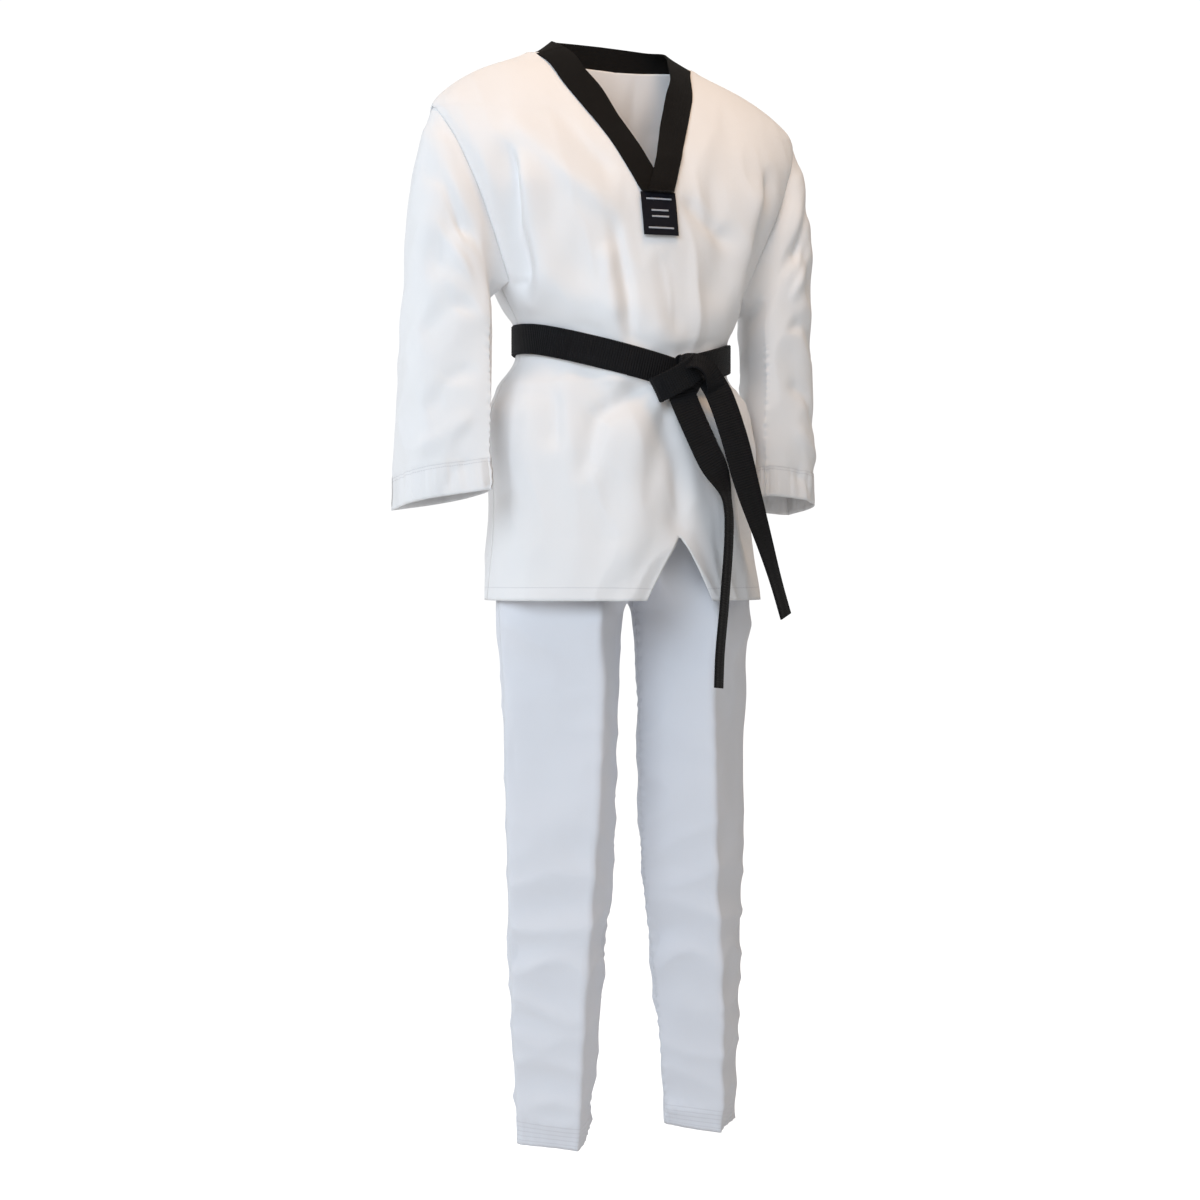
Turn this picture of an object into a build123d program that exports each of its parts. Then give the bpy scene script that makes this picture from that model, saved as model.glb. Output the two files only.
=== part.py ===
from build123d import *
from collections import namedtuple
from math import copysign, cos, hypot, pi, radians, sin, tan
import os

os.makedirs("parts", exist_ok=True)

# Martial arts uniform: pullover jacket, tied belt and trousers, hanging as when worn by a standing adult.
# Millimetres. The origin is the middle of the wearer's waist, +Z is up, the front faces -Y,
# and the wearer's left side is +X.

# ---- driving sizes -------------------------------------------------------------------------------------
CLOTH = 2.0  # wall of every cloth solid
LAYER_GAP = 0.3  # air between stacked layers
JOINT_GAP = 1.0  # air between cloth on different moving bodies

TROUSER_HEM_Z = -1040.0
LEG_TOP_Z = -340.0
JACKET_HEM_Z = -333.0
ARMPIT_Z = 80.0
SHOULDER_Z = 307.0
NECK_Z = 391.0
COLLAR_TOP_Z = 420.0

ARMPIT_X = 172.0
SHOULDER_X = 267.0
NECK_X = 113.0
COLLAR_TOP_X = 83.0

BELT_WIDTH = 39.0
BELT_THICKNESS = 2.4
BELT_SIDE_Z = 4.0  # mid line of the belt at the sides and back
KNOT_X = 20.0
KNOT_Z = -46.0  # mid line of the belt where it reaches the knot

HEM_TURN = 30.0  # height of the turned-in layer at the jacket hem
CUFF_TURN = 40.0
LEG_TURN = 36.0

LABEL_WIDTH = 49.0
LABEL_HEIGHT = 56.0
LABEL_TOP_Z = 193.0

LEG_SWING_Y = -18.0  # hinge line of both legs
LEG_FORWARD_DEG = 25.0
LEG_BACK_DEG = 15.0

LOOP_POINTS = 20  # spline points round a cross-section
WORLD = 1500.0  # size of the blocks that cut pieces apart

Ring = namedtuple("Ring", "z half_width front back power")
Tube = namedtuple("Tube", "centre long short")

# ---- cross-sections ------------------------------------------------------------------------------------
TORSO = [
    Ring(JACKET_HEM_Z, 188, 150, 130, 2.1),
    Ring(-250, 182, 149, 124, 2.1),
    Ring(-150, 167, 138, 108, 2.1),
    Ring(-85, 153, 124, 93, 2.1),
    Ring(-70, 150, 120, 90, 2.1),
    Ring(28, 150, 120, 90, 2.1),
    Ring(38, 155, 123, 93, 2.1),
    Ring(60, 168, 125, 99, 2.1),
    Ring(ARMPIT_Z, 173, 122, 101, 2.15),
    Ring(130, 226, 117, 103, 2.4),
    Ring(200, 266, 108, 101, 2.5),
    Ring(260, 290, 86, 88, 2.4),
    Ring(310, 268, 66, 76, 2.2),
    Ring(350, 200, 46, 68, 2.1),
    Ring(NECK_Z, NECK_X, 26, 66, 2.1),
]
HIPS = [
    Ring(LEG_TOP_Z, 178, 106, 84, 2.3),
    Ring(-200, 165, 104, 84, 2.2),
    Ring(-80, 140, 98, 76, 2.1),
    Ring(-20, 134, 94, 72, 2.1),
]
WAISTBAND = [
    Ring(-20, 134, 94, 72, 2.1),
    Ring(22, 134, 94, 72, 2.1),
]


def sleeve_tubes():
    """Left sleeve cross-sections, from the armhole plane down to the cuff."""
    armhole_mid = Vector((ARMPIT_X + SHOULDER_X) / 2, 0, (ARMPIT_Z + SHOULDER_Z) / 2)
    to_tip = Vector(SHOULDER_X, 0, SHOULDER_Z) - armhole_mid
    outward = armhole_outward() * JOINT_GAP
    return [
        Tube(armhole_mid + outward, to_tip * 0.985, Vector(0, 76, 0)),
        Tube(Vector(240, 0, 130), Vector(50, 4, 88), Vector(3, 73, -2)),
        Tube(Vector(248, 0, 50), Vector(54, 8, 44), Vector(7, 68, -4)),
        Tube(Vector(253, -2, -40), Vector(54, 12, 12), Vector(12, 66, -6)),
        Tube(Vector(258, -8, -125), Vector(50, 18, -2), Vector(17, 68, -8)),
        Tube(Vector(260, -14, -204), Vector(45, 22, -6), Vector(21, 70, -10)),
    ]


def armhole_outward():
    """Unit normal of the left armhole plane, pointing away from the body."""
    along_x = SHOULDER_X - ARMPIT_X
    along_z = SHOULDER_Z - ARMPIT_Z
    length = hypot(along_x, along_z)
    return Vector(along_z / length, 0, -along_x / length)


# Left leg: middle, half width across, half depth front to back.
LEG = [
    Tube(Vector(92, -11, LEG_TOP_Z), Vector(87, 0, 0), Vector(0, 95, 0)),
    Tube(Vector(98, -18, -440), Vector(79, 0, 0), Vector(0, 94, 0)),
    Tube(Vector(97, -20, -560), Vector(77, 0, 0), Vector(0, 88, 0)),
    Tube(Vector(98, -20, -680), Vector(73, 0, 0), Vector(0, 80, 0)),
    Tube(Vector(104, -20, -860), Vector(61, 0, 0), Vector(0, 70, 0)),
    Tube(Vector(109, -20, TROUSER_HEM_Z), Vector(49, 0, 0), Vector(0, 66, 0)),
]


# ---- small tools ---------------------------------------------------------------------------------------
def bulge(value, power):
    """Superellipse exponent: 2 gives an ellipse and more gives squarer corners."""
    return copysign(abs(value) ** (2 / power), value)


def ring_wire(ring, grow=0.0):
    """Closed horizontal loop, grown outwards by grow."""
    points = []
    for step in range(LOOP_POINTS):
        angle = 2 * pi * step / LOOP_POINTS
        depth = (ring.back if sin(angle) > 0 else ring.front) + grow
        x = (ring.half_width + grow) * bulge(cos(angle), ring.power)
        y = depth * bulge(sin(angle), ring.power)
        points.append(Vector(x, y, ring.z))
    return Wire([Edge.make_spline(points, periodic=True)])


def tube_wire(tube, grow=0.0):
    """Closed loop round a limb, in the plane of its two half axes."""
    long_axis = tube.long * ((tube.long.length + grow) / tube.long.length)
    short_axis = tube.short * ((tube.short.length + grow) / tube.short.length)
    points = []
    for step in range(LOOP_POINTS):
        angle = 2 * pi * step / LOOP_POINTS
        points.append(tube.centre + long_axis * cos(angle) + short_axis * sin(angle))
    return Wire([Edge.make_spline(points, periodic=True)])


def ring_solid(rings, grow=0.0):
    return Solid.make_loft([ring_wire(ring, grow) for ring in rings], ruled=True)


def tube_solid(tubes, grow=0.0):
    wires = [tube_wire(tube, grow) for tube in tubes]
    lengths = [Solid.make_loft(pair, ruled=True) for pair in zip(wires, wires[1:])]
    return lengths[0].fuse(*lengths[1:])


def block(x_range, y_range, z_range):
    """Box between three pairs of limits."""
    low = [min(pair) for pair in (x_range, y_range, z_range)]
    sizes = [abs(pair[1] - pair[0]) for pair in (x_range, y_range, z_range)]
    return Pos(*low) * Box(*sizes, align=(Align.MIN, Align.MIN, Align.MIN))


def front_prism(outline, y_range):
    """Outline given as (x, z) points, pushed through front to back."""
    face = make_face(Polyline([(x, y_range[1], z) for x, z in outline], close=True))
    return extrude(face, amount=abs(y_range[1] - y_range[0]), dir=(0, -1, 0))


def side_prism(outline, x_range):
    """Outline given as (y, z) points, pushed through from right to left."""
    face = make_face(Polyline([(x_range[0], y, z) for y, z in outline], close=True))
    return extrude(face, amount=abs(x_range[1] - x_range[0]), dir=(1, 0, 0))


def mirrored(shape):
    return mirror(shape, about=Plane.YZ)


def save(shape, node):
    export_step(shape, f"parts/{node}.step")


FRONT_HALF = block((-WORLD, WORLD), (-WORLD, 0), (-WORLD, WORLD))
BACK_HALF = block((-WORLD, WORLD), (0, WORLD), (-WORLD, WORLD))
LEFT_HALF = block((0, WORLD), (-WORLD, WORLD), (-WORLD, WORLD))
RIGHT_HALF = block((-WORLD, 0), (-WORLD, WORLD), (-WORLD, WORLD))


# ---- jacket --------------------------------------------------------------------------------------------
# Front view of the collar's two edges on the left side, from the shoulder down to the point of the V.
COLLAR_OUTER = [(NECK_X, NECK_Z), (104, 365), (81, 316), (56, 269), (26, 202)]
COLLAR_INNER = [(72, NECK_Z), (63, 365), (47, 339), (32, 302), (0, 228)]
COLLAR_POINT_Z = 196.0  # the crossed bands end here, on the label
COLLAR_BASE = [(22, COLLAR_POINT_Z), (-20, COLLAR_POINT_Z)]

VENT_X = 14.0
VENT_HALF_WIDTH = 46.0
VENT_TOP_Z = -254.0


def armhole_cutters():
    """Everything outside the two armhole planes, above the armpits."""
    slope = (SHOULDER_X - ARMPIT_X) / (SHOULDER_Z - ARMPIT_Z)
    top_z = SHOULDER_Z + 200
    outline = [
        (ARMPIT_X, ARMPIT_Z),
        (ARMPIT_X + slope * (top_z - ARMPIT_Z), top_z),
        (WORLD, top_z),
        (WORLD, ARMPIT_Z),
    ]
    left = front_prism(outline, (-WORLD, WORLD))
    return left, mirrored(left)


def neck_cutter():
    """The whole neck opening, out to the collar's outer edge."""
    left_edge = COLLAR_OUTER + [(23, COLLAR_POINT_Z)]
    right_edge = [(-x, z) for x, z in reversed(left_edge)]
    outline = [(-NECK_X, NECK_Z + 60), (NECK_X, NECK_Z + 60)] + left_edge + right_edge
    return front_prism(outline, (-WORLD, 29))


def vent_cutter():
    """Upturned V at the front of the jacket hem."""
    outline = [
        (VENT_X - VENT_HALF_WIDTH, JACKET_HEM_Z - 20),
        (VENT_X - VENT_HALF_WIDTH, JACKET_HEM_Z),
        (VENT_X, VENT_TOP_Z),
        (VENT_X + VENT_HALF_WIDTH, JACKET_HEM_Z),
        (VENT_X + VENT_HALF_WIDTH, JACKET_HEM_Z - 20),
    ]
    return front_prism(outline, (-WORLD, 0))


def jacket_panels():
    cloth = ring_solid(TORSO) - ring_solid(TORSO, -CLOTH)
    for cutter in armhole_cutters():
        cloth = cloth - cutter
    front = (cloth & FRONT_HALF) - neck_cutter() - vent_cutter()
    back = (cloth & BACK_HALF) - neck_cutter()
    save(front, "jacket_front_panel")
    save(back, "jacket_back_panel")


def jacket_hem_layers():
    outer = ring_solid(TORSO, -CLOTH - LAYER_GAP)
    inner = ring_solid(TORSO, -2 * CLOTH - LAYER_GAP)
    strip = block((-WORLD, WORLD), (-WORLD, WORLD), (JACKET_HEM_Z, JACKET_HEM_Z + HEM_TURN))
    layer = (outer - inner) & strip
    save((layer & FRONT_HALF) - vent_cutter(), "jacket_hem_layer_front")
    save(layer & BACK_HALF, "jacket_hem_layer_back")


def collar_bands():
    """Two front bands lying in the chest surface and a standing band round the back of the neck."""
    skin = ring_solid(TORSO, 0.6) - ring_solid(TORSO, -CLOTH)
    left_outline = COLLAR_OUTER + COLLAR_BASE + [(-8, 212)] + list(reversed(COLLAR_INNER))
    neck_front = (-WORLD, 28)
    left = skin & front_prism(left_outline, neck_front)
    right_outline = [(-x, z) for x, z in left_outline]
    right = (skin & front_prism(right_outline, neck_front)) - front_prism(left_outline, neck_front)
    save(left, "collar_band_left")
    save(right, "collar_band_right")

    stand = [
        Ring(NECK_Z + LAYER_GAP, NECK_X, 20, 68, 2.1),
        Ring(COLLAR_TOP_Z, COLLAR_TOP_X, 12, 60, 2.1),
    ]
    band = ring_solid(stand) - ring_solid(stand, -CLOTH)
    front_edge = [(-15, NECK_Z), (33, COLLAR_TOP_Z + 1), (-WORLD, COLLAR_TOP_Z + 1), (-WORLD, NECK_Z)]
    save(band - side_prism(front_edge, (-WORLD, WORLD)), "collar_band_back")


def chest_label():
    outline = [
        (-LABEL_WIDTH / 2, LABEL_TOP_Z),
        (LABEL_WIDTH / 2, LABEL_TOP_Z),
        (LABEL_WIDTH / 2, LABEL_TOP_Z - LABEL_HEIGHT),
        (-LABEL_WIDTH / 2, LABEL_TOP_Z - LABEL_HEIGHT),
    ]
    skin = ring_solid(TORSO, 1.8) - ring_solid(TORSO, LAYER_GAP)
    save(skin & front_prism(outline, (-WORLD, 0)), "chest_label")


def sleeves():
    tubes = sleeve_tubes()
    cloth = tube_solid(tubes) - tube_solid(tubes, -CLOTH)
    layer = tube_solid(tubes, -CLOTH - LAYER_GAP) - tube_solid(tubes, -2 * CLOTH - LAYER_GAP)
    cuff_z = tubes[-1].centre.Z
    layer = layer & block((0, WORLD), (-WORLD, WORLD), (cuff_z - 60, cuff_z + CUFF_TURN))
    save(cloth, "sleeve_left")
    save(mirrored(cloth), "sleeve_right")
    save(layer, "cuff_layer_left")
    save(mirrored(layer), "cuff_layer_right")


# ---- trousers ------------------------------------------------------------------------------------------
def leg_swing_cutter():
    """Room under the seat for the top of a leg as it swings forward and back."""
    reach = 260
    outline = [
        (LEG_SWING_Y, LEG_TOP_Z + JOINT_GAP),
        (LEG_SWING_Y - reach, LEG_TOP_Z + JOINT_GAP + reach * tan(radians(LEG_FORWARD_DEG + 2))),
        (LEG_SWING_Y - reach, LEG_TOP_Z - 50),
        (LEG_SWING_Y + reach, LEG_TOP_Z - 50),
        (LEG_SWING_Y + reach, LEG_TOP_Z + JOINT_GAP + reach * tan(radians(LEG_BACK_DEG + 2))),
    ]
    return side_prism(outline, (-WORLD, WORLD))


def seat_panels():
    cloth = ring_solid(HIPS) - ring_solid(HIPS, -CLOTH) - leg_swing_cutter()
    for side, side_half in (("left", LEFT_HALF), ("right", RIGHT_HALF)):
        for face, face_half in (("front", FRONT_HALF), ("back", BACK_HALF)):
            save(cloth & side_half & face_half, f"seat_{side}_{face}")


def crotch_gusset():
    """Strip between the legs that rises towards the front and the back."""
    half_width = 32
    front_rise = tan(radians(LEG_FORWARD_DEG + 3))
    back_rise = tan(radians(LEG_BACK_DEG + 3))
    base = LEG_TOP_Z + 2 * JOINT_GAP + 1
    front_y = LEG_SWING_Y - 70
    back_y = LEG_SWING_Y + 80
    front_z = base + 70 * front_rise
    back_z = base + 80 * back_rise
    outline = [
        (front_y, front_z),
        (LEG_SWING_Y, base),
        (back_y, back_z),
        (back_y, back_z + CLOTH),
        (LEG_SWING_Y, base + CLOTH),
        (front_y, front_z + CLOTH),
    ]
    save(side_prism(outline, (-half_width, half_width)), "crotch_gusset")


def waistband():
    """Casing with the elastic lying inside its fold."""
    elastic_height = (-14, 16)
    casing = ring_solid(WAISTBAND) - ring_solid(WAISTBAND, -3 * CLOTH)
    pocket = ring_solid(WAISTBAND, -CLOTH + LAYER_GAP / 2) - ring_solid(WAISTBAND, -2 * CLOTH - LAYER_GAP / 2)
    elastic = ring_solid(WAISTBAND, -CLOTH) - ring_solid(WAISTBAND, -2 * CLOTH)
    span = (-WORLD, WORLD)
    casing = casing - (pocket & block(span, span, (elastic_height[0] - 1, elastic_height[1] + 1)))
    save(casing, "trouser_waistband")
    save(elastic & block(span, span, elastic_height), "waist_elastic")


def legs():
    cloth = tube_solid(LEG) - tube_solid(LEG, -CLOTH)
    layer = tube_solid(LEG, -CLOTH - LAYER_GAP) - tube_solid(LEG, -2 * CLOTH - LAYER_GAP)
    layer = layer & block((0, WORLD), (-WORLD, WORLD), (TROUSER_HEM_Z, TROUSER_HEM_Z + LEG_TURN))
    seam_y = LEG[0].centre.Y
    front_half = block((0, WORLD), (-WORLD, seam_y), (-2000, 0))
    back_half = block((0, WORLD), (seam_y, WORLD), (-2000, 0))
    for face, half in (("front", front_half), ("back", back_half)):
        panel = cloth & half
        save(panel, f"leg_left_{face}")
        save(mirrored(panel), f"leg_right_{face}")
    save(layer, "leg_hem_layer_left")
    save(mirrored(layer), "leg_hem_layer_right")


# ---- belt ----------------------------------------------------------------------------------------------
WAIST = [Ring(-130, 150, 120, 90, 2.1), Ring(80, 150, 120, 90, 2.1)]
KNOT_MID = Vector(KNOT_X, -134, -48)
LONG_TAIL_TOP = Vector(22, -141, -84)
LONG_TAIL_BEND = Vector(69, -158, -197)
LONG_TAIL_END = Vector(52, -176, -444)
SHORT_TAIL_TOP = Vector(68, -147, -70)
SHORT_TAIL_END = Vector(164, -160, -350)


def belt_height():
    """Region the wraps fill: level round the back and dipping to the knot at the front."""
    half = BELT_WIDTH / 2
    back = block((-WORLD, WORLD), (0, WORLD), (BELT_SIDE_Z - half, BELT_SIDE_Z + half))
    side_x = 156
    outline = [
        (-side_x, BELT_SIDE_Z + half),
        (KNOT_X, KNOT_Z + half),
        (side_x, BELT_SIDE_Z + half),
        (side_x, BELT_SIDE_Z - half),
        (KNOT_X, KNOT_Z - half),
        (-side_x, BELT_SIDE_Z - half),
    ]
    return back, front_prism(outline, (-WORLD, 0))


def belt_wraps():
    back, front = belt_height()
    inner_face = LAYER_GAP + 0.1
    for name in ("belt_inner_wrap", "belt_outer_wrap"):
        ring = ring_solid(WAIST, inner_face + BELT_THICKNESS) - ring_solid(WAIST, inner_face)
        save((ring & back) + (ring & front), name)
        inner_face = inner_face + BELT_THICKNESS + LAYER_GAP


def belt_knot():
    """Folded core with the last wrap passing over its front from the upper right to the lower left."""
    depth = 15
    core = fillet((Pos(KNOT_MID) * Box(50, depth, 44)).edges(), 6)
    wrap_y = -depth / 2 - LAYER_GAP - BELT_THICKNESS / 2
    wrap = Pos(KNOT_MID) * Pos(0, wrap_y, 0) * Rot(0, -28, 0) * Box(34, BELT_THICKNESS, 50)
    save(core, "belt_knot_core")
    save(wrap, "belt_knot_wrap")


def strap(start, end, width_dir):
    """Flat length of belt between two points."""
    run = end - start
    middle = (start + end) * 0.5
    plane = Plane(origin=middle, x_dir=width_dir, z_dir=run.normalized())
    return plane * Box(BELT_WIDTH, BELT_THICKNESS, run.length)


def belt_tails():
    across = Vector(cos(radians(-20)), 0, sin(radians(-20)) * -1)
    upper = strap(LONG_TAIL_TOP, LONG_TAIL_BEND, Vector(1, 0, 0.4))
    lower = strap(LONG_TAIL_BEND + Vector(0, 0, 8), LONG_TAIL_END, Vector(0.5, 0.87, 0))
    save(upper + lower, "belt_tail_long")
    save(strap(SHORT_TAIL_TOP, SHORT_TAIL_END, across), "belt_tail_short")


jacket_panels()
jacket_hem_layers()
collar_bands()
chest_label()
sleeves()
seat_panels()
crotch_gusset()
waistband()
legs()
belt_wraps()
belt_knot()
belt_tails()
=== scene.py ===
import bmesh
import bpy
import numpy as np
from math import cos, pi, radians, sin
from mathutils import Matrix, Vector, noise


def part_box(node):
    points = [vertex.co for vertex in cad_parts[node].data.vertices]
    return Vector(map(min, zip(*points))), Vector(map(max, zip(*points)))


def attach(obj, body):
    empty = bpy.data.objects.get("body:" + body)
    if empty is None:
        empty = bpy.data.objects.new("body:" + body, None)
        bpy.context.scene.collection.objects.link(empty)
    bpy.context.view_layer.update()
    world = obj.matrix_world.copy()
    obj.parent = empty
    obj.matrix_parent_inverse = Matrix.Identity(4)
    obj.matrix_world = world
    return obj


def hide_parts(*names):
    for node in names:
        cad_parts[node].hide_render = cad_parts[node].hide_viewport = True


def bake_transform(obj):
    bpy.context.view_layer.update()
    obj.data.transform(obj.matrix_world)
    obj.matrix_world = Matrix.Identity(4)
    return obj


# Martial arts uniform: cloth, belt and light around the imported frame. Metres, in the frame's own axes.

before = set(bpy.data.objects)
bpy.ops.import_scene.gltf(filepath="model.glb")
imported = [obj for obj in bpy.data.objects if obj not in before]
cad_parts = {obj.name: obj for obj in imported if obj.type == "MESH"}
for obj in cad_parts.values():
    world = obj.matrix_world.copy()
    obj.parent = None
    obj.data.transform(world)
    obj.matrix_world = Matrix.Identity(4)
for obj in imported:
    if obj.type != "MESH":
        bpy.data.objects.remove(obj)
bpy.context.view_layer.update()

# ---- driving places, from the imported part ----
HEM_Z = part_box("jacket_front_panel")[0].z
LEG_HEM_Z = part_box("leg_left_front")[0].z
NECK_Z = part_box("jacket_back_panel")[1].z
COLLAR_TOP_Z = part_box("collar_band_back")[1].z
WAISTBAND_TOP_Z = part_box("trouser_waistband")[1].z
LABEL_LOW, LABEL_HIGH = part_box("chest_label")
BELT_WIDTH = 0.039
BELT_THICK = 0.0026
CLOTH = 0.0012

ARMPIT = Vector((0.172, 0.0, 0.080))
SHOULDER = Vector((0.267, 0.0, 0.307))
NECK_X = 0.113


# ---- number tools ----
def xyz(x, y, z):
    """Points from their coordinates, each of which is a number or an array."""
    return np.stack(np.broadcast_arrays(x, y, z), axis=-1)


def unit(vectors):
    return vectors / np.linalg.norm(vectors, axis=-1, keepdims=True)


def smooth_step(value):
    value = np.clip(value, 0.0, 1.0)
    return value * value * (3 - 2 * value)


def bell(value, width):
    return np.exp(-(value / width) ** 2)


def bulge(value, power):
    """Superellipse exponent: 2 gives an ellipse and more gives squarer corners."""
    return np.sign(value) * np.abs(value) ** (2 / power)


ROUNDING_STEPS = 8


def profile(places, values, rounding):
    """Curve through the given values, with its corners rounded over the given length."""
    step = rounding / ROUNDING_STEPS
    dense = np.arange(min(places) - 4 * rounding, max(places) + 4 * rounding, step)
    order = np.argsort(places)
    line = np.interp(dense, np.array(places)[order], np.array(values)[order])
    kernel = np.hanning(2 * ROUNDING_STEPS + 3)[1:-1]
    line = np.convolve(np.pad(line, ROUNDING_STEPS, mode="edge"), kernel / kernel.sum(), mode="valid")
    return lambda place: np.interp(place, dense, line)


def through(keys, count):
    """Catmull-Rom curve through key points or key loops, evenly spaced, as count samples."""
    keys = np.array(keys, float)
    gaps = np.linalg.norm((keys[1:] - keys[:-1]).reshape(len(keys) - 1, -1), axis=1)
    places = np.concatenate([[0], np.cumsum(gaps)])
    slopes = np.empty_like(keys)
    slopes[0] = (keys[1] - keys[0]) / gaps[0]
    slopes[-1] = (keys[-1] - keys[-2]) / gaps[-1]
    for i in range(1, len(keys) - 1):
        slopes[i] = (keys[i + 1] - keys[i - 1]) / (gaps[i - 1] + gaps[i])
    samples = []
    for place in np.linspace(0, places[-1], count):
        i = min(np.searchsorted(places, place, side="right") - 1, len(gaps) - 1)
        t = (place - places[i]) / gaps[i]
        start = keys[i] * (1 + 2 * t) * (1 - t) ** 2 + slopes[i] * gaps[i] * t * (1 - t) ** 2
        finish = keys[i + 1] * t * t * (3 - 2 * t) + slopes[i + 1] * gaps[i] * t * t * (t - 1)
        samples.append(start + finish)
    return np.array(samples)


def wander(points, size, seed=0.0):
    """Smooth random value in -1 to 1 at each point, varying over the given size."""
    flat = np.asarray(points, float).reshape(-1, 3) / size + seed
    values = [noise.noise(Vector(p)) for p in flat]
    return np.array(values).reshape(np.asarray(points).shape[:-1])


def crumple(points, size, seed=0.0):
    """Creased random value in about -1 to 1: flat facets that meet at ridges."""
    return 0.7 - 2.6 * np.abs(wander(points, size, seed))


def line_distance(across, along, path):
    """Distance from each place to a path of (across, along) pairs, and the share of the path before it."""
    best = np.full(across.shape, np.inf)
    best_t = np.zeros(across.shape)
    path = np.array(path, float)
    lengths = np.linalg.norm(path[1:] - path[:-1], axis=1)
    done = 0.0
    for a, b, length in zip(path[:-1], path[1:], lengths):
        t = np.clip(((across - a[0]) * (b[0] - a[0]) + (along - a[1]) * (b[1] - a[1])) / length**2, 0, 1)
        gap = np.hypot(across - a[0] - t * (b[0] - a[0]), along - a[1] - t * (b[1] - a[1]))
        nearer = gap < best
        best = np.where(nearer, gap, best)
        best_t = np.where(nearer, (done + t * length) / lengths.sum(), best_t)
        done += length
    return best, best_t


def fold(across, along, path, width, height):
    """Ridge (or valley when height is below 0) that follows a path and fades at both ends."""
    gap, t = line_distance(across, along, path)
    return height * bell(gap, width) * smooth_step(4 * t) * smooth_step(4 * (1 - t))


# ---- mesh tools ----
def add_object(name, data):
    made = bpy.data.objects.new(name, data)
    bpy.context.scene.collection.objects.link(made)
    return made


def grid_mesh(name, points, around=False, ring=False, caps=False, keep=None):
    """Mesh from rows of points, which can close round each row and from the last row to the first.
    UVs are metres of cloth: U across the row and V up from the last row. keep is a mask of cells."""
    rows, columns = points.shape[:2]
    across = np.linalg.norm(np.diff(points, axis=1), axis=2)
    along = np.linalg.norm(np.diff(points, axis=0), axis=2)
    u = np.concatenate([np.zeros((rows, 1)), np.cumsum(across, axis=1)], axis=1)
    u = u - u[:, columns // 2 : columns // 2 + 1]
    v = np.concatenate([np.zeros((1, columns)), np.cumsum(along, axis=0)], axis=0)
    v = v[-1:, :] - v
    faces = []
    for r in range(rows - 1 + ring):
        for c in range(columns - 1 + around):
            if keep is None or keep[r, c]:
                here, below = r * columns, (r + 1) % rows * columns
                beside = (c + 1) % columns
                faces.append((here + c, below + c, below + beside, here + beside))
    if caps:
        faces.append(tuple(range(columns)))
        faces.append(tuple(range(rows * columns - 1, (rows - 1) * columns - 1, -1)))
    mesh = bpy.data.meshes.new(name)
    mesh.from_pydata(points.reshape(-1, 3).tolist(), [], faces)
    mesh.uv_layers.new(name="cloth")
    piece = add_object(name, mesh)
    set_uv(piece, u, v)
    drop_loose(mesh)
    return piece


def set_uv(piece, u, v):
    """Gives each corner of the mesh the U and V of its point."""
    mesh = piece.data
    used = np.zeros(len(mesh.loops), np.int32)
    mesh.loops.foreach_get("vertex_index", used)
    uv = np.stack([u.reshape(-1)[used], v.reshape(-1)[used]], axis=1)
    mesh.uv_layers["cloth"].data.foreach_set("uv", uv.reshape(-1).astype(np.float32))


def drop_loose(mesh):
    """Removes points that no face uses."""
    shell = bmesh.new()
    shell.from_mesh(mesh)
    bmesh.ops.delete(shell, geom=[v for v in shell.verts if not v.link_faces], context="VERTS")
    shell.to_mesh(mesh)
    shell.free()


def apply_modifiers(piece):
    """Puts the modifiers' result in place of the mesh."""
    bpy.context.view_layer.update()
    evaluated = piece.evaluated_get(bpy.context.evaluated_depsgraph_get())
    mesh = bpy.data.meshes.new_from_object(evaluated)
    piece.modifiers.clear()
    piece.data = mesh


def make_cloth(piece, material, thickness=CLOTH):
    """Gives a single layer its thickness and finish. The outer face stays where it was drawn."""
    solid = piece.modifiers.new("thickness", "SOLIDIFY")
    solid.thickness = thickness
    solid.offset = -1
    solid.use_even_offset = False
    apply_modifiers(piece)
    piece.data.materials.clear()
    piece.data.materials.append(material)
    piece.data.shade_smooth()


# ---- torso shape ----
WAIST_HALF = 0.1450  # the jacket's size under the belt: half its width, and its depth in front and behind
WAIST_FRONT = 0.1205
WAIST_BACK = 0.0905
# height, half width, front, back, squareness
TORSO = [
    (HEM_Z, 0.188, -0.150, 0.130, 2.1),
    (-0.250, 0.184, -0.149, 0.124, 2.1),
    (-0.150, 0.176, -0.138, 0.109, 2.1),
    (-0.085, 0.1600, -0.1255, 0.094, 2.1),
    (-0.060, WAIST_HALF, -WAIST_FRONT, WAIST_BACK, 2.1),
    (0.025, WAIST_HALF, -WAIST_FRONT, WAIST_BACK, 2.1),
    (0.048, 0.1590, -0.1265, 0.0965, 2.1),
    (ARMPIT.z, 0.1755, -0.122, 0.101, 2.1),
    (0.130, 0.200, -0.118, 0.103, 2.15),
    (0.200, 0.236, -0.109, 0.101, 2.2),
    (0.260, 0.262, -0.084, 0.091, 2.2),
    (SHOULDER.z, 0.2685, -0.053, 0.082, 2.1),
    (0.341, 0.230, -0.032, 0.077, 1.95),
    (0.369, 0.181, -0.010, 0.074, 1.9),
    (NECK_Z, NECK_X, 0.010, 0.072, 2.0),
]
torso_places = [row[0] for row in TORSO]
torso_half = profile(torso_places, [row[1] for row in TORSO], 0.024)
torso_front = profile(torso_places, [row[2] for row in TORSO], 0.03)
torso_back = profile(torso_places, [row[3] for row in TORSO], 0.03)
torso_power = profile(torso_places, [row[4] for row in TORSO], 0.03)
torso_middle = profile(
    [0.200, 0.260, SHOULDER.z, 0.341, 0.369, NECK_Z],
    [0, 0.002, 0.008, 0.013, 0.020, 0.028],
    0.02,
)


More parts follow.
